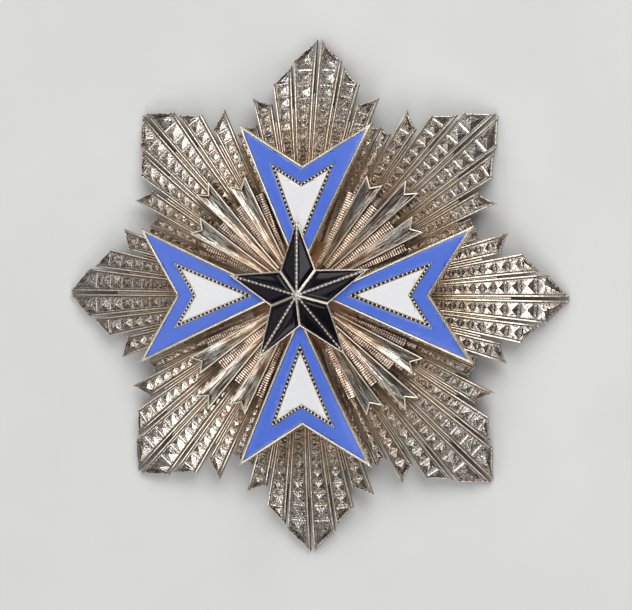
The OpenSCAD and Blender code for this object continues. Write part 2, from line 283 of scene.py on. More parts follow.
def cutSilver():
    # Old cut silver: neutral facets between warmer lines, warmer still towards the middle, and finely
    # pitted.
    # Its grooves, walls and underside are darkened by painted shade, which in the grooves is partly tarnish.
    finish = Finish("cutSilver", Metallic=1.0)
    inward = finish.span(finish.fromMiddle(), silver["warmInside"], silver["warmOutside"], 0.8, 0.05)
    patches = finish.span(finish.noise(300, 4), 0.35, 0.7, -0.25, 0.4)
    warmth = finish.math("ADD", inward, patches, clamp=True)
    facets = finish.mix(warmth, silver["facet"], silver["warmFacet"])
    lines = finish.mix(warmth, silver["line"], silver["warmLine"])
    onLines = finish.attribute("lines")
    base = finish.mix(onLines, facets, lines)
    # painted shade: this attribute darkens grooves, walls and underside; in the grooves it is partly tarnish
    grime = finish.attribute("grime")
    pits = finish.span(finish.noise(2600, 2, 0.6), 0.53, 0.68, 0.0, 0.75)
    specks = finish.math("MULTIPLY", pits, finish.span(onLines, 0, 1, 1, silver["lineSpecks"]))
    shadeAndDirt = finish.math("ADD", grime, specks, clamp=True)
    near = finish.span(finish.fromMiddle(), silver["shadeAndGrimeInside"], silver["shadeAndGrimeOutside"], 1.0, 0.0)
    finish.colour(finish.mix(shadeAndDirt, base, finish.mix(near, silver["grime"], silver["innerShadeAndGrime"])))
    fine = finish.span(finish.noise(1300, 3), 0.3, 0.7, 0.08, 0.2)
    rubbed = finish.math("MULTIPLY", onLines, silver["lineRoughness"])
    rough = finish.math("ADD", rubbed, finish.math("MULTIPLY", grime, 0.25))
    finish.roughness(finish.math("ADD", fine, rough))
    finish.bump(finish.noise(2300, 2, 0.6), 1.0, silver["pitting"])
    return finish.material


polish = {
    "plain": (0.58, 0.58, 0.54),
    "copper": (0.76, 0.54, 0.36),
    "ribs": (0.91, 0.70, 0.57),
    # the dark of painted shade, and a warmer dark near the middle
    "grime": (0.10, 0.066, 0.045),
    "innerShadeAndGrime": (0.26, 0.12, 0.055),
    "copperInside": 0.007,
    "copperOutside": 0.019,
    # how fine the strokes are, round the star and outwards
    "strokes": (65, 300),
    "strokeDepth": 0.0001,
}


def polishedSilver():
    # Polished lengthwise by hand; coppery towards the middle and on the milled strips.
    finish = Finish("polishedSilver", Metallic=1.0)
    inward = finish.span(finish.fromMiddle(), polish["copperInside"], polish["copperOutside"], 0.95, 0.0)
    patches = finish.span(finish.noise(300, 4), 0.35, 0.7, -0.3, 0.4)
    ribs = finish.attribute("ribs")
    warmth = finish.math("ADD", inward, patches, clamp=True)
    base = finish.mix(ribs, finish.mix(warmth, polish["plain"], polish["copper"]), polish["ribs"])
    strokes = finish.noise(1.0, 3, 0.6, finish.alongRays(*polish["strokes"]))
    streaks = finish.span(strokes, 0.44, 0.6, 0.0, 0.85)
    # painted shade in the low parts and under the strips, together with the polishing streaks
    grime = finish.attribute("grime")
    shadeAndDirt = finish.math("ADD", finish.math("MULTIPLY", grime, 0.95), streaks, clamp=True)
    finish.colour(finish.mix(shadeAndDirt, base, finish.mix(inward, polish["grime"], polish["innerShadeAndGrime"])))
    fine = finish.span(strokes, 0.3, 0.7, 0.10, 0.26)
    finish.roughness(finish.math("ADD", fine, finish.math("MULTIPLY", grime, 0.25)))
    finish.bump(strokes, 1.0, polish["strokeDepth"])
    return finish.material


def rimSilver():
    # The raised rims, rubbed bright.
    finish = Finish("rimSilver", Metallic=1.0)
    patches = finish.span(finish.noise(700, 3), 0.35, 0.7)
    finish.colour(finish.mix(patches, (0.95, 0.90, 0.80), (0.84, 0.73, 0.58)))
    finish.roughness(finish.span(finish.noise(1800, 4), 0.3, 0.7, 0.26, 0.42))
    finish.bump(finish.noise(2600, 3, 0.6), 0.3, 0.00005)
    return finish.material


def plainSilver():
    finish = Finish("pinSilver", Metallic=1.0)
    patches = finish.span(finish.noise(320, 5), 0.35, 0.7)
    finish.colour(finish.mix(patches, (0.74, 0.72, 0.68), (0.52, 0.46, 0.41)))
    finish.roughness(finish.span(finish.noise(1800, 4), 0.3, 0.7, 0.22, 0.42))
    finish.bump(finish.noise(2600, 4, 0.7), 0.3, 0.00004)
    return finish.material


def gilt(name, bright, worn, dark):
    finish = Finish(name, Metallic=1.0)
    patches = finish.span(finish.noise(420, 5), 0.35, 0.7)
    # painted shade: where the attribute is set, the colour goes to the dark one
    grime = finish.attribute("grime")
    finish.colour(finish.mix(grime, finish.mix(patches, bright, worn), dark))
    fine = finish.span(finish.noise(2200, 4), 0.3, 0.7, 0.2, 0.38)
    finish.roughness(finish.math("ADD", fine, finish.math("MULTIPLY", grime, 0.3)))
    finish.bump(finish.noise(3200, 4, 0.7), 0.25, 0.00004)
    return finish.material


def enamel(name, thin, deep, speck, gloss, specular):
    # Fired glass: slow changes of depth, tiny pits and specks, and a surface that isn't quite flat.
    finish = Finish(name, Coat_Weight=0.6 * specular, Coat_Roughness=0.08, Specular_IOR_Level=specular)
    depth = finish.span(finish.noise(140, 3), 0.3, 0.7)
    base = finish.mix(depth, thin, deep)
    pits = finish.span(finish.noise(3000, 2, 0.7), 0.58, 0.72)
    finish.colour(finish.mix(finish.math("MULTIPLY", pits, 0.5), base, speck))
    finish.roughness(finish.span(finish.noise(900, 3), 0.3, 0.7, gloss, gloss + 0.1))
    finish.bump(finish.noise(500, 2, 0.4), 0.05, 0.0001)
    return finish.material


def camelName(key):
    first, *rest = key.split("_")
    return first + "".join(word.capitalize() for word in rest)


# bright, worn, and the dark of painted shade
gilts = {
    "cross_gilt": ((0.90, 0.82, 0.65), (0.68, 0.58, 0.42), (0.075, 0.055, 0.05)),
    "star_gilt": ((0.88, 0.81, 0.71), (0.66, 0.57, 0.48), (0.008, 0.005, 0.008)),
    "dart_beads": ((0.95, 0.89, 0.78), (0.78, 0.68, 0.52), (0.035, 0.022, 0.02)),
    "star_beads": ((0.97, 0.94, 0.88), (0.88, 0.82, 0.73), (0.008, 0.005, 0.008)),
}
# thin glass, deep glass, specks, roughness and specular level
enamels = {
    "blue_enamel": ((0.078, 0.170, 0.69), (0.066, 0.148, 0.63), (0.13, 0.24, 0.76), 0.28, 0.5),
    "white_enamel": ((0.83, 0.83, 0.84), (0.79, 0.79, 0.80), (0.64, 0.64, 0.66), 0.25, 0.5),
    "black_enamel": ((0.002, 0.002, 0.003), (0.006, 0.003, 0.008), (0.02, 0.02, 0.03), 0.05, 0.16),
}
finishes = {
    "ray_silver": cutSilver(),
    "polished_silver": polishedSilver(),
    "channel_rims": rimSilver(),
    "pin_silver": plainSilver(),
}
for key, values in gilts.items():
    finishes[key] = gilt(camelName(key), *values)
for key, values in enamels.items():
    finishes[key] = enamel(camelName(key), *values)
print("materials made")

for row in frame["record"]["subparts"]:
    carried = nodes[row["node"]].data
    carried.materials.clear()
    carried.materials.append(finishes[row["material_slot"]])

# The plate under the rays is part of a ball.
plate = {"tipRadius": 45.0, "rise": 7.4, "thickness": 1.1}
plateBall = (plate["tipRadius"] ** 2 + plate["rise"] ** 2) / (2 * plate["rise"])


def plateTop(r):
    return plate["thickness"] + plate["rise"] - sphereDrop(r, plateBall)


rays = {
    "turn": -0.8,
    "groups": 8,
    # each ray of half a group: its two edges in degrees, the reach of each edge, the row of its end
    "table": [(0.42, 5.9, 45.0, 41.49, 0), (6.6, 11.8, 40.5, 37.8, 1), (13.0, 18.15, 34.425, 36.45, 3),
              (19.0, 22.27, 31.5, 31.815, 5)],
    "slotRows": [3, 4, 5, 6, 7],
    "firstRow": 40.005,
    "rowRatio": 0.9376,
    "studRows": 11,
    "ringRow": 9.9,
    "hollow": 0.585,
    # the rays beside an axis have their rows a little further in
    "axisShift": [0, 0.45, 0.7, 0.7, 0.55, 0.3],
    # border of a ray as a share of its width, at two radii
    "border": [(31.0, 0.21), (41.0, 0.145)],
    # the same at the hub, which lies a little lower than the plate
    "hubBorder": 0.2,
    "hubSink": 0.1,
    # across the border: share of it, and height against the plate
    "profile": [(0, -0.12), (0.1, -0.02), (0.27, 0.03), (0.44, -0.02), (0.55, -0.28), (0.74, -0.28),
                (0.84, -0.05), (1.0, -0.14)],
    # the same from the end of a ray inwards, in mm
    "endProfile": [(0, 0.0), (0.08, 0.05), (0.25, -0.06), (0.33, -0.24)],
    "valley": 0.0055,
    # a bar between two studs, from its foot up: how far each step goes in and how far it rises
    "barSteps": [(0.07, 0), (0.02, 0.17), (0.05, 0.05)],
    "grooveFloor": -0.38,
    # the line along a groove: share of the groove's width, and height
    "grooveLine": [(0.3, -0.12), (0.5, -0.04), (0.7, -0.12)],
    "studRise": 0.51,
    "unevenHeight": 0.16,
    "unevenPlace": 0.08,
    # the line round the foot of a stud
    "baseLine": 0.05,
    "baseSink": 0.03,
    "ridgeWidth": 0.09,
    "seed": 11,
    # painted shade on the walls and on the underside, and the depth at which a groove is painted quite dark
    # (painted shade, partly tarnish)
    "wallShade": 1.0,
    "underShade": 0.35,
    "shadeAndGrimeDepth": 0.36,
}
# marks of a grid's faces: 0 is plain, 1 to 4 a stud of that ray
barMark = 9
# marks of points whose painted shade they get later
wallMark, underMark = -2, -1
rayLastRow = rays["studRows"] + 1
rayLineCount = 2 * (rayLastRow + 2) + 2


def rowRadius(row):
    return rays["firstRow"] * rays["rowRatio"] ** (row - 1)


def rayColumns():
    # From the axis of a group outwards: kind, ray or groove number, then angle and height, or side and
    # share of the border.
    floor, line = rays["grooveFloor"], rays["grooveLine"]
    top, foot = line[1][1], line[0][1]
    first, last = rays["table"][0][0], rays["table"][-1][1]
    columns = [("groove", 0, 0.0, top), ("groove", 0, first * 0.4, foot), ("groove", 0, first * 0.66, floor)]
    shares = [share for share, height in rays["profile"]]
    across = [(0.17, floor), *line, (0.83, floor)]
    for number, ray in enumerate(rays["table"]):
        columns += [("ray", number, 0, share) for share in shares]
        columns += [("ray", number, 1, share) for share in reversed(shares)]
        if number + 1 < len(rays["table"]):
            after = rays["table"][number + 1][0]
            columns += [("groove", number + 1, blend(ray[1], after, share), height)
                        for share, height in across]
    half = 180 / rays["groups"]
    columns += [("groove", len(rays["table"]), blend(last, half, share), height)
                for share, height in ((0.34, floor), (0.6, foot), (1, top))]
    return columns


rayColumnList = rayColumns()


def isField(column):
    # The strip between the borders of a ray, where the studs stand.
    return rayColumnList[column][0] == "ray" and rayColumnList[column][2:] == (0, 1.0)


def rayRow(line):
    # Two lines of the grid to a row: the outer and the inner side of its valley.
    return divmod(line - 2, 2)


def placeRay(column, line):
    kind, number, a, b = rayColumnList[column]
    row, step = rayRow(line)
    if row > rayLastRow:
        r = rays["ringRow"] if step == 0 else 0.0
        angle = a
        if kind == "ray":
            low, high = rays["table"][number][:2]
            share = rays["hubBorder"] * b
            angle = blend(low, high, 1 - share if a else share)
        return polar(r, angle, plateTop(r) - rays["hubSink"])
    r = rowRadius(row) * (1 + rays["valley"] * (1 - 2 * step))
    if kind == "groove":
        return polar(r, a, plateTop(r) + b)
    low, high, lowReach, highReach, endRow = rays["table"][number]
    share = b * along(rays["border"], max(r, rays["border"][0][0]))
    if a == 1:
        share = 1 - share
    height = along(rays["profile"], b)
    if row <= endRow:
        inward, endHeight = rays["endProfile"][2 * (row - endRow + 1) + step if row >= endRow - 1 else 0]
        r = blend(lowReach, highReach, share) - 4 * rays["hollow"] * share * (1 - share) - inward
        height = min(height, endHeight)
    elif number == 0 and row < len(rays["axisShift"]):
        r -= rays["axisShift"][row]
    return polar(r, blend(low, high, share), plateTop(r) + height)


def keepRay(column, line):
    kind, number = rayColumnList[column][:2]
    nextKind, nextNumber = rayColumnList[column + 1][:2]
    row = rayRow(line)[0]
    if kind == "ray" and nextKind == "ray":
        return row >= rays["table"][number][4] - 1
    groove = number if kind == "groove" else nextNumber
    return row >= rays["slotRows"][groove]


def rayCell(column, line):
    # Studs are marked with the number of their ray, and the valleys between them as bars.
    row, step = rayRow(line)
    number = rayColumnList[column][1]
    if not isField(column) or row >= rays["studRows"]:
        return 0
    if step == 1:
        return number + 1
    return barMark if row > rays["table"][number][4] else 0


def addStuds(bm, mark):
    # Each cell becomes a four-sided stud. They were cut by hand, so no two have quite the same top.
    cells = [f for f in bm.faces if 0 < f[mark] < barMark]
    widest = rays["table"][0][1] - rays["table"][0][0]
    rise = [rays["studRise"] * (ray[1] - ray[0]) / widest for ray in rays["table"]]
    bmesh.ops.inset_individual(bm, faces=cells, thickness=rays["baseLine"], depth=-rays["baseSink"],
                               use_even_offset=True)
    sizes = [math.sqrt(cell.calc_area()) for cell in cells]
    kinds = [cell[mark] - 1 for cell in cells]
    tops = bmesh.ops.poke(bm, faces=cells, offset=0, center_mode="MEAN")["verts"]
    chance = random.Random(rays["seed"])
    for top, size, kind in zip(tops, sizes, kinds):
        top.co.x += size * rays["unevenPlace"] * chance.uniform(-1, 1)
        top.co.y += size * rays["unevenPlace"] * chance.uniform(-1, 1)
        r = radius(top)
        height = rise[kind] * min(1, r / rays["firstRow"]) * (1 - rays["unevenHeight"] * chance.random())
        top.co.z = plateTop(r) + height
    ridges = list({edge for top in tops for edge in top.link_edges})
    bmesh.ops.bevel(bm, geom=ridges, offset=rays["ridgeWidth"], segments=2, profile=0.5, affect="EDGES",
                    material=-1, clamp_overlap=True)


def buildRays():
    bm, gone = gridOf(len(rayColumnList), rayLineCount, keepRay, rayCell)
    lines = bm.verts.layers.float.new("lines")
    for v in bm.verts:
        column = round((v.co.x + 1) / 2 * (len(rayColumnList) - 1))
        v[lines] = 0.0 if rayColumnList[column][3] == 1.0 else 1.0
    placeGrid(bm, len(rayColumnList), rayLineCount, placeRay)
    bmesh.ops.delete(bm, geom=gone, context="FACES")
    repeatRound(bm, rays["groups"])
    under = closeUnder(bm, bm.faces[:], lambda v: plateTop(radius(v)) - plate["thickness"])
    grime = bm.verts.layers.float["grime"]
    for v in under:
        onRim = any(edge.other_vert(v) not in under for edge in v.link_edges)
        v[grime] = wallMark if onRim else underMark
    mark = bm.faces.layers.int["mark"]
    bars = [f for f in bm.faces if f[mark] == barMark]
    for inwards, upwards in rays["barSteps"]:
        bmesh.ops.inset_individual(bm, faces=bars, thickness=inwards, depth=upwards, use_even_offset=True)
    addStuds(bm, mark)
    # Painted shade: walls and underside dark, grooves darker the deeper they lie (partly tarnish).
    for v in bm.verts:
        if v[grime] < 0:
            v[grime] = rays["wallShade"] if v[grime] == wallMark else rays["underShade"]
        else:
            v[grime] = limited((plateTop(radius(v)) - v.co.z) / rays["shadeAndGrimeDepth"])
    turnPiece(bm, rays["turn"])
    return finishPiece(bm, "cutRays", finishes["ray_silver"], ["ray_star"])


buildRays()
print("cut rays made")

glory = {
    "reach": 26.6,
    "stripEnd": 19.68,
    "rings": [19.68, 17.2, 14.7, 12.3, 9.9, 5.0, 0.0],
    # from the end of a channel inwards: a rim, then the channel itself
    "endSteps": [0.0, 0.26, 0.38],
    "endDip": 0.04,
    # the last line of a channel lies at this share of the way from the strips to its end
    "endLine": 0.5,
    # the floor beside a channel ends at this share of the reach
    "floorShare": 0.88,
    # how much shorter a rim is for each degree from its edge, and the channel beside it
    "rimSlant": 0.01,
    "channelSlant": 0.009,
    "hubRadius": 6,
    "hubHeight": (0.9, 0.6),
    "stripHeight": 1.25,
    "rimRise": 1.0,
    "channelDepth": 0.5,
    "rimStep": 0.12,
    "channelBend": 1.4,
    "floorDrop": 0.1,
    "seatGap": 0.2,
    "lift": (0.5, 0.6),
    # channels of half a group: edges in degrees and the reach as shares at the inner edge, the middle
    # and the outer edge
    "axisChannel": (3.5, 0.932, 1.0),
    "sideChannel": (9.1, 17.5, 0.88, 0.823, 0.88),
    # across a rim: degrees from its outer edge, and height against its top
    "rim": [(0, -0.05), (0.17, 0), (0.4, 0), (0.6, -0.07)],
    "rimFoot": 0.7,
    "wall": 0.35,
    "outerEdge": 22.0,
    "ribPitch": 0.43,
    "ribDepth": 0.12,
    "ribFall": (1.0, 0.3, 0.0, 0.3),
    "stripStart": 6.2,
    "wire": 0.13,
    "wireStart": 6.5,
    "stripRise": 0.5,
    "stripMargin": 0.22,
    "stripBed": 0.1,
    # gaps beside the outermost strip and before the end of every strip
    "outerGap": 0.25,
    "endGap": 0.05,
    # painted shade of the underside, and height over the strips' bed up to which a channel is painted quite
    # dark, as painted shade
    "underShade": 0.5,
    "darkHeight": 0.3,
}


def gloryColumns():
    # From the axis of a group outwards: angle, height above the strips, share of the reach, and where the
    # column starts: 0 at the end of a channel, 2 at the strips, 3 at the hub.
    depth, step, bend = glory["channelDepth"], glory["rimStep"], glory["channelBend"]
    top, low, wall = glory["rimRise"], -glory["floorDrop"], glory["wall"]
    edge, middleShare, edgeShare = glory["axisChannel"]
    inner = edge - glory["rimFoot"]
    columns = []
    for k in range(6):
        share = k / 5
        columns.append((inner * share, top - step - (depth - step) * (1 - share ** bend),
                        blend(middleShare, edgeShare, inner / edge * share), 0))
    for away, height in reversed(glory["rim"]):
        columns.append((edge - away, top + height, blend(middleShare, edgeShare, (edge - away) / edge),
                        0 if away else 2))
    columns.append((edge + wall, low, glory["floorShare"], 2))
    near, far, nearShare, middleShare, farShare = glory["sideChannel"]
    columns.append((near - wall, low, glory["floorShare"], 2))
    columns += [(near + away, top + height, nearShare - glory["rimSlant"] * away, 0)
                for away, height in glory["rim"]]
    a, b = near + glory["rimFoot"], far - glory["rimFoot"]
    for k in range(11):
        share = k / 10
        side = abs(2 * share - 1)
        ownShare = (nearShare if share < 0.5 else farShare) - glory["channelSlant"]
        columns.append((blend(a, b, share), top - step - (depth - step) * (1 - side ** bend),
                        blend(middleShare, ownShare, side), 0))
    for away, height in reversed(glory["rim"]):
        columns.append((far - away, top + height, farShare - glory["rimSlant"] * away, 0 if away else 2))
    columns.append((far + wall, low, glory["floorShare"], 2))
    columns += [(angle, low, glory["floorShare"], 3) for angle in (glory["outerEdge"], 45.0)]
    return columns


gloryColumnList = gloryColumns()
stripLine = len(glory["endSteps"]) + 1
gloryLineCount = stripLine + len(glory["rings"])
ringLine = stripLine + glory["rings"].index(9.9)


def placeGlory(column, line):
    angle, height, reachShare = gloryColumnList[column][:3]
    reach = glory["reach"] * reachShare
    if line >= stripLine:
        r = glory["rings"][line - stripLine]
    elif line == stripLine - 1:
        r = blend(glory["stripEnd"], reach, glory["endLine"])
    else:
        r = reach - glory["endSteps"][line]
        if line < 2:
            height = max(height, glory["rimRise"] - glory["endDip"] * (1 - line))
    if r < glory["hubRadius"]:
        height = glory["rimRise"] * glory["hubHeight"][1 if r else 0]
    return polar(r, angle, plateTop(r) + glory["stripHeight"] + height)


def keepGlory(column, line):
    first = {0: 0, 2: stripLine, 3: ringLine}[gloryColumnList[column][3]]
    return line >= first


def gloryUnder(r):
    low, high = glory["lift"]
    seat, end = glory["rings"][2], glory["stripEnd"]
    if r > end:
        lift = blend(low, high, (r - end) / (glory["reach"] - end))
    else:
        lift = max(0.0, low * (r - seat) / (end - seat))
    return plateTop(r) + glory["seatGap"] + lift


def addStrip(bm, low, high, start, end):
    # A milled strip: a row of fine ribs across its length.
    ribs = int((end - start) / glory["ribPitch"])
    made = bmesh.ops.create_grid(bm, x_segments=1, y_segments=4 * ribs, size=1)["verts"]
    faces = list({f for v in made for f in v.link_faces})
    tone = bm.verts.layers.float["ribs"]
    for v in made:
        line = round((v.co.y + 1) * 2 * ribs)
        r = blend(start, end, line / (4 * ribs))
        fall = glory["ribFall"][line % 4]
        z = plateTop(r) + glory["stripHeight"] + glory["stripRise"] - glory["ribDepth"] * fall
        v.co = polar(r, low if v.co.x < 0 else high, z)
        # the tone gives the crests the strip's pink; its lower values in the rib valleys, and 0.3
        # underneath, become painted shade
        v[tone] = 1 - 0.5 * fall
    bed = glory["stripHeight"] - glory["floorDrop"] - glory["stripBed"]
    for v in closeUnder(bm, faces, lambda v: plateTop(radius(v)) + bed):
        v[tone] = 0.3


def buildGlory():
    bm, gone = gridOf(len(gloryColumnList), gloryLineCount, keepGlory, lambda column, line: 0)
    tone = bm.verts.layers.float.new("ribs")
    placeGrid(bm, len(gloryColumnList), gloryLineCount, placeGlory)
    bmesh.ops.delete(bm, geom=gone, context="FACES")
    repeatRound(bm, 4)
    closeUnder(bm, bm.faces[:], lambda v: gloryUnder(radius(v)))
    margin = glory["wall"] + glory["stripMargin"]
    near, far = glory["sideChannel"][:2]
    strips = [(glory["axisChannel"][0] + margin, near - margin),
              (far + margin, glory["outerEdge"] - glory["outerGap"])]
    start, end = glory["stripStart"], glory["stripEnd"] - glory["endGap"]
    for quarter in range(4):
        for low, high in strips:
            for side in (-1, 1):
                addStrip(bm, 90 * quarter + side * low, 90 * quarter + side * high, start, end)
    bmesh.ops.recalc_face_normals(bm, faces=bm.faces[:])
    # Painted shade: the underside, the rib valleys and the low floors and channels are darkened, the lower
    # the darker.
    grime = bm.verts.layers.float["grime"]
    for v in bm.verts:
        r = radius(v)
        above = v.co.z - plateTop(r) - glory["stripHeight"]
        if v.co.z < gloryUnder(r) + 0.01:
            v[grime] = glory["underShade"]
        elif v[tone] > 0:
            v[grime] = limited(1.2 - 1.2 * v[tone])
        else:
            v[grime] = 1.0 if above < glory["darkHeight"] else limited((1 - above) * 0.8)
    turnPiece(bm, 45)
    return finishPiece(bm, "polishedRays", finishes["polished_silver"], ["inner_glory"],
                       smooth=28)


def buildGloryRims():
    # A round bright rim along both edges of every channel and round its swallow-tail.
    bm = newMesh()
    bm.verts.layers.float.new("ribs")
    axis, side = glory["axisChannel"], glory["sideChannel"]
    channels = [(-axis[0], axis[0], axis[2], axis[1], axis[2])]
    channels += [side, (-side[1], -side[0], side[4], side[3], side[2])]
    for quarter in range(4):
        for low, high, lowShare, middleShare, highShare in channels:
            reach, start = glory["reach"], glory["wireStart"]
            rim = [(blend(start, reach * lowShare, k / 6), low) for k in range(7)]
            rim += [(reach * middleShare, (low + high) / 2)]
            rim += [(blend(start, reach * highShare, k / 6), high) for k in range(6, -1, -1)]
            points = []
            for r, angle in rim:
                z = plateTop(r) + glory["stripHeight"] + glory["rimRise"]
                inwards = math.degrees(glory["wire"] / r)
                if angle == low:
                    angle += inwards
                elif angle == high:
                    angle -= inwards
                points.append(polar(r - glory["wire"], 45 + 90 * quarter + angle, z))
            for a, b in zip(points, points[1:]):
                addWire(bm, a, b, glory["wire"])
                addBall(bm, b, glory["wire"])
    return finishPiece(bm, "channelRims", finishes["channel_rims"], smooth=80)


buildGlory()
buildGloryRims()
print("polished rays made")

cross = {
    "height": 13.3,
    "rise": 3.9,
    "armLength": 29.8,
    "armWidth": 23.8,
    "arm": [(0, 3.576), (11.9, 29.8), (0, 22.439), (-11.9, 29.8)],
    "dart": [(0, 9.029), (5.2, 22.35), (0, 19.161), (-5.2, 22.35)],
    "edgeLine": 0.38,
    "dartLine": 0.5,
    "enamelGap": 0.06,
    "enamelDepth": 0.59,
    # spacing of the cuts that let the flat enamel follow the ball, and the rounding at its edge
    "enamelStep": 1.0,
    "roundWidth": 0.12,
    "roundDrop": 0.05,
    "crown": 0.06,
    "crownWidth": 1.6,
    # across the gilt line round an arm: distance from its outer edge, and height over the tray
    "lineProfile": [(0.0, -0.07), (0.05, 0.03), (0.13, 0.09), (0.21, 0.1), (0.29, 0.07), (0.36, -0.03)],
    "bead": 0.21,
    "ribbon": 0.34,
    # beads along the long and the short sides of a dart
    "beadPitch": (0.78, 0.67),
    "beadSink": 0.03,
    "ribbonRise": 0.015,
    "ribbonDepth": 0.08,
    "lineDepth": 0.15,
    # cuts that let a line and a ribbon follow the ball
    "lineCuts": 23,
    "ribbonCuts": 9,
}
crossTip = math.hypot(cross["armWidth"] / 2, cross["armLength"])
crossBall = (crossTip ** 2 + cross["rise"] ** 2) / (2 * cross["rise"])


def crossTop(r):
    return cross["height"] - sphereDrop(r, crossBall)


def inset(outline, distance):
    # The outline, which runs anticlockwise, with its sides moved inwards.
    moved = []
    for before, here, after in zip(outline[-1:] + outline[:-1], outline, outline[1:] + outline[:1]):
        a, b = (here - before).normalized(), (after - here).normalized()
        a, b = Vector((-a.y, a.x, 0)), Vector((-b.y, b.x, 0))
        moved.append(here + distance * (a + b) / (1 + a.dot(b)))
    return moved


def cutSheet(bm, outline, step):
    # A flat face, cut across both ways so that it can be bent.
    bm.faces.new([bm.verts.new(p) for p in outline])
    for axis in (0, 1):
        reach = max(abs(p[axis]) for p in outline)
        count = int(reach / step)
        for k in range(-count, count + 1):
            place, direction = [0, 0, 0], [0, 0, 0]
            place[axis], direction[axis] = k * step, 1
            bmesh.ops.bisect_plane(bm, geom=everything(bm), plane_co=place, plane_no=direction, dist=0.0001)


def buildEnamel(name, outline, mirrored, quarter, finish, replaced):
    # Enamel lies in its bed like a thin cushion: rounded at its edge and a little full in the middle.
    bm = newMesh()
    cutSheet(bm, outline, cross["enamelStep"])
    if mirrored:
        bmesh.ops.mirror(bm, geom=everything(bm), matrix=Matrix(), merge_dist=0.001, axis="X")
        bmesh.ops.remove_doubles(bm, verts=bm.verts[:], dist=0.002)
    bmesh.ops.recalc_face_normals(bm, faces=bm.faces[:])
    rim = [v for v in bm.verts if v.is_boundary]
    bmesh.ops.inset_region(bm, faces=bm.faces[:], thickness=cross["roundWidth"], use_even_offset=True,
                           use_boundary=True)
    edge = {v for v in bm.verts if v.is_boundary}
    for v in bm.verts:
        away = min((v.co.xy - other.co.xy).length for other in rim)
        share = limited(away / cross["crownWidth"])
        full = -cross["roundDrop"] if v in edge else cross["crown"] * share * (2 - share) / 2
        v.co.z = crossTop(radius(v)) - cross["enamelGap"] / 2 + full
    closeUnder(bm, bm.faces[:], lambda v: crossTop(radius(v)) - cross["enamelDepth"])
    turnPiece(bm, 90 * quarter)
    return finishPiece(bm, name, finishes[finish], [replaced], smooth=50)


def buildEnamels():
    arm = inset([Vector((*p, 0)) for p in cross["arm"]], cross["edgeLine"] + cross["enamelGap"])
    dart = [Vector((*p, 0)) for p in cross["dart"]]
    bedEdge = inset(dart, -cross["dartLine"] / 2 - cross["enamelGap"])
    white = inset(dart, cross["dartLine"] / 2 + cross["enamelGap"])
    blueHalf = [arm[0], arm[1], arm[2], bedEdge[2], bedEdge[1], bedEdge[0]]
    for k in range(4):
        buildEnamel("blueEnamel%d" % (k + 1), blueHalf, True, k, "blue_enamel", "blue_enamel_%d" % (k + 1))
        buildEnamel("whiteEnamel%d" % (k + 1), white, False, k, "white_enamel", "white_enamel_%d" % (k + 1))


def buildCrossLine():
    # The gilt line round each arm is rounded like a wire.
    bm = newMesh()
    arm = [Vector((*p, 0)) for p in cross["arm"]]
    rails = []
    for away, height in cross["lineProfile"]:
        rails.append([Vector((p.x, p.y, height)) for p in inset(arm, away)])
    for side in range(4):
        after = (side + 1) % 4
        for near, far in zip(rails, rails[1:]):
            bm.faces.new([bm.verts.new(p) for p in (near[side], near[after], far[after], far[side])])
    bmesh.ops.remove_doubles(bm, verts=bm.verts[:], dist=0.001)
    lengthwise = [edge for edge in bm.edges if edge.calc_length() > 3]
    bmesh.ops.subdivide_edges(bm, edges=lengthwise, cuts=cross["lineCuts"], use_grid_fill=True)
    for v in bm.verts:
        v.co.z += crossTop(radius(v))
    bmesh.ops.recalc_face_normals(bm, faces=bm.faces[:])
    closeUnder(bm, bm.faces[:], lambda v: crossTop(radius(v)) - cross["lineDepth"])
    copyRound(bm, 4)
    return finishPiece(bm, "crossLine", finishes["cross_gilt"], smooth=60)


def buildDartBeads():
    # The line round each dart: a dark bed, painted shade between the beads, with a row of small bright
    # beads.
    bm = newMesh()
    grime = bm.verts.layers.float["grime"]
    dart = [Vector((*p, 0)) for p in cross["dart"]]
    outer, inner = inset(dart, -cross["ribbon"] / 2), inset(dart, cross["ribbon"] / 2)
    for side in range(4):
        after = (side + 1) % 4
        bm.faces.new([bm.verts.new(p) for p in (outer[side], outer[after], inner[after], inner[side])])
    bmesh.ops.remove_doubles(bm, verts=bm.verts[:], dist=0.002)
    bmesh.ops.subdivide_edges(bm, edges=bm.edges[:], cuts=cross["ribbonCuts"], use_grid_fill=True)
    for v in bm.verts:
        v.co.z = crossTop(radius(v)) + cross["ribbonRise"]
    bmesh.ops.recalc_face_normals(bm, faces=bm.faces[:])
    closeUnder(bm, bm.faces[:], lambda v: v.co.z - cross["ribbonDepth"])
    # the bed is painted shade
    for v in bm.verts:
        v[grime] = 1
    for side in range(4):
        a, b = dart[side], dart[(side + 1) % 4]
        count = round((b - a).length / cross["beadPitch"][0 if side in (0, 3) else 1])
        for k in range(count):
            p = a.lerp(b, k / count)
            addBall(bm, Vector((p.x, p.y, crossTop(p.length) - cross["beadSink"])), cross["bead"])
    copyRound(bm, 4)
    return finishPiece(bm, "dartBeads", finishes["dart_beads"], smooth=80)


buildEnamels()
buildCrossLine()
buildDartBeads()
print("cross made")

smallStar = {
    "radius": 13.0,
    "turn": 2.3,
    "corner": 5.265,
    "apex": 15.75,
    "edge": 0.55,
    "seatGap": 0.2,
    "wire": 0.12,
    # wires from the middle to the inner corners, and the balls at the joints, as shares of the wire
    "ridgeWire": 0.85,
    "joint": 1.02,
    # how far the wire lies in from the tips and the inner corners, in wires
    "tipInset": 2.2,
    "cornerInset": 0.6,
    "bead": 0.21,
    "tipBead": 0.85,
    "beadPitch": 0.74,
    "beadSink": 0.04,
    "facetCuts": 7,
    "facetGrow": 0.12,
    "facetLift": 0.03,
    "facetCrown": 0.07,
    "ribbon": 0.3,
    "ribbonSink": 0.245,
    "thread": 0.06,
}


def starEdge(r):
    # Height of the star's edge, which lies on the cross.
    return crossTop(r) + smallStar["seatGap"] + smallStar["edge"]


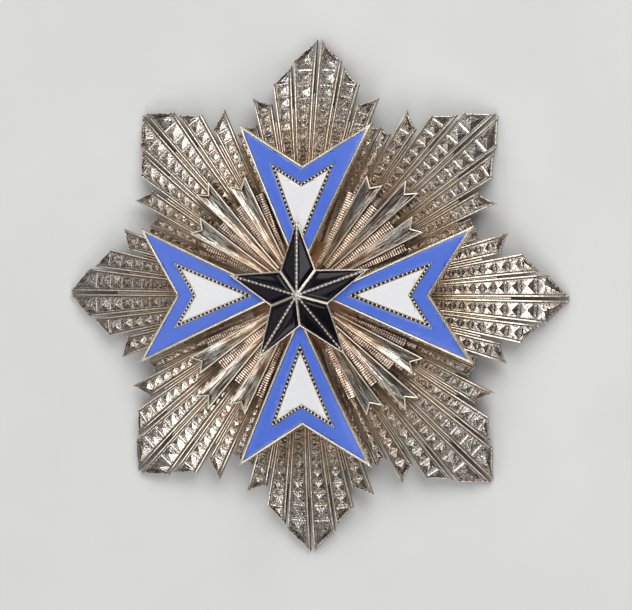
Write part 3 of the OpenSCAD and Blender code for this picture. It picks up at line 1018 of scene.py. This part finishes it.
def buildStarBeads():
    # Five of the ridges carry a row of beads on a dark bed, which is painted shade between the beads.
    bm = newMesh()
    grime = bm.verts.layers.float["grime"]
    apex = Vector((0, 0, smallStar["apex"] - smallStar["beadSink"]))
    reach = smallStar["radius"]
    sink = Vector((0, 0, smallStar["ribbonSink"]))
    for k in range(5):
        angle = 90 + smallStar["turn"] + 72 * k
        tip = polar(reach, angle, starEdge(reach) - smallStar["beadSink"])
        # the dark bed under the beads is painted shade
        for v in addWire(bm, apex.lerp(tip, 0.03) - sink, apex.lerp(tip, 0.97) - sink, smallStar["ribbon"]):
            v[grime] = 1
        addWire(bm, apex, tip, smallStar["thread"])
        count = int((tip - apex).length / smallStar["beadPitch"])
        for j in range(1, count):
            share = j / count
            addBall(bm, apex.lerp(tip, share), smallStar["bead"] * blend(1.0, smallStar["tipBead"], share))
    return finishPiece(bm, "starBeads", finishes["star_beads"], smooth=80)


def buildStarWires():
    # Thin wires round the star and from its middle to its inner corners.
    bm = newMesh()
    grime = bm.verts.layers.float["grime"]
    apex = Vector((0, 0, smallStar["apex"]))
    corners = []
    for k in range(10):
        r = smallStar["corner"] if k % 2 else smallStar["radius"]
        r -= smallStar["wire"] * smallStar["cornerInset" if k % 2 else "tipInset"]
        corners.append(polar(r, 90 + smallStar["turn"] + 36 * k, starEdge(r)))
    for a, b in zip(corners, corners[1:] + corners[:1]):
        addWire(bm, a, b, smallStar["wire"])
    sink = Vector((0, 0, smallStar["ribbonSink"]))
    for corner in corners[1::2]:
        addWire(bm, corner, apex, smallStar["wire"] * smallStar["ridgeWire"])
        # a dark ribbon under each ridge wire: painted shade beside the wire
        for v in addWire(bm, corner.lerp(apex, 0.05) - sink, apex - sink, smallStar["ribbon"]):
            v[grime] = 1
    for place in corners + [apex]:
        addBall(bm, place, smallStar["wire"] * smallStar["joint"], around=10, down=7)
    return finishPiece(bm, "starWires", finishes["star_gilt"], smooth=80)


def buildFacet(k):
    # A copy of the flat facet, with its front raised to a shallow cushion of glass.
    bm = bmesh.new()
    bm.from_mesh(nodes["black_enamel_%d" % k].data)
    bmesh.ops.scale(bm, vec=(1 / mm, 1 / mm, 1 / mm), verts=bm.verts[:])
    bmesh.ops.remove_doubles(bm, verts=bm.verts[:], dist=0.001)
    front = max(bm.faces, key=lambda face: face.normal.z * face.calc_area())
    normal = front.normal.copy()
    corners = [v.co.copy() for v in front.verts]
    sides = [(corners[i - 2] - corners[i - 1]).length for i in range(3)]
    middle = sum((corner * side for corner, side in zip(corners, sides)), Vector()) / sum(sides)
    inRadius = 2 * front.calc_area() / sum(sides)
    for v in bm.verts:
        above = (v.co - corners[0]).dot(normal)
        v.co += (v.co - middle - normal * above) * smallStar["facetGrow"] / inRadius
    bmesh.ops.translate(bm, vec=normal * smallStar["facetLift"], verts=list(front.verts))
    corners = [v.co.copy() for v in front.verts]
    bmesh.ops.subdivide_edges(bm, edges=list(front.edges), cuts=smallStar["facetCuts"], use_grid_fill=True)
    whole = (corners[1] - corners[0]).cross(corners[2] - corners[0]).length
    for v in bm.verts:
        if abs((v.co - corners[0]).dot(normal)) > 0.001:
            continue
        shares = [(corners[i] - v.co).cross(corners[i - 1] - v.co).length / whole for i in range(3)]
        full = limited(27 * shares[0] * shares[1] * shares[2])
        v.co += normal * smallStar["facetCrown"] * full
    return finishPiece(bm, "blackEnamel%d" % k, finishes["black_enamel"],
                       ["black_enamel_%d" % k], smooth=35)


buildStarBeads()
buildStarWires()
for k in range(1, 11):
    buildFacet(k)
print("small star made")

stage = {
    "floorSize": 3.0,
    "floorTints": ((0.68, 0.68, 0.67), (0.72, 0.72, 0.71)),
    "tilt": 13.0,
    "distance": 0.62,
    "pixelsPerMetre": 5729.0,
    "imageWidth": 632,
    "sensor": 36,
    "lookAt": (0.0012, -0.00166, 0.006),
    "skyColour": (0.97, 0.98, 1.0),
    "skyStrength": 0.11,
}


def buildFloor():
    bm = bmesh.new()
    bmesh.ops.create_grid(bm, x_segments=4, y_segments=4, size=stage["floorSize"] / 2)
    mesh = bpy.data.meshes.new("floor")
    bm.to_mesh(mesh)
    bm.free()
    floor = bpy.data.objects.new("floor", mesh)
    bpy.context.scene.collection.objects.link(floor)
    finish = Finish("paleFloor", Roughness=0.7)
    patches = finish.span(finish.noise(30, 3), 0.3, 0.7)
    finish.colour(finish.mix(patches, *stage["floorTints"]))
    mesh.materials.append(finish.material)


def buildCamera():
    data = bpy.data.cameras.new("camera")
    data.sensor_width = stage["sensor"]
    data.lens = stage["sensor"] * stage["distance"] * stage["pixelsPerMetre"] / stage["imageWidth"]
    data.clip_start = 0.01
    camera = bpy.data.objects.new("camera", data)
    tilt = math.radians(stage["tilt"])
    right, y, height = stage["lookAt"]
    target = Vector((right * math.cos(tilt), y, height - right * math.sin(tilt)))
    camera.location = target + stage["distance"] * Vector((math.sin(tilt), 0, math.cos(tilt)))
    camera.rotation_euler = (0, tilt, 0)
    bpy.context.scene.collection.objects.link(camera)
    bpy.context.scene.camera = camera


# azimuth, elevation, distance, width, height, turn about its own axis, power
lamps = {
    "top": (69, 47.5, 1.0, 0.98, 0.58, -32.8, 7.1),
    "bottom": (-80, 36, 1.0, 0.64, 0.48, 0, 3.7),
    "left": (180, 46, 1.0, 1.3, 0.7, 0, 2.2),
    "lower": (-66, 66, 1.0, 0.5, 0.4, 0, 1.1),
    "upper": (128, 36, 1.0, 0.3, 0.25, 0, 0.7),
}


def buildLamps():
    for name, (azimuth, elevation, distance, width, height, roll, power) in lamps.items():
        data = bpy.data.lights.new(name + "Lamp", "AREA")
        data.shape = "RECTANGLE"
        data.size, data.size_y = width, height
        data.energy = power
        lamp = bpy.data.objects.new(name + "Lamp", data)
        a, e = math.radians(azimuth), math.radians(elevation)
        direction = Vector((math.cos(a) * math.cos(e), math.sin(a) * math.cos(e), math.sin(e)))
        lamp.location = direction * distance
        turned = direction.to_track_quat("Z", "Y") @ Quaternion((0, 0, 1), math.radians(roll))
        lamp.rotation_euler = turned.to_euler()
        bpy.context.scene.collection.objects.link(lamp)
    world = bpy.data.worlds.new("studio")
    world.use_nodes = True
    sky = world.node_tree.nodes["Background"]
    sky.inputs["Color"].default_value = (*stage["skyColour"], 1)
    sky.inputs["Strength"].default_value = stage["skyStrength"]
    bpy.context.scene.world = world


buildFloor()
buildCamera()
buildLamps()
bpy.context.scene.view_settings.view_transform = "Standard"
print("stage made")
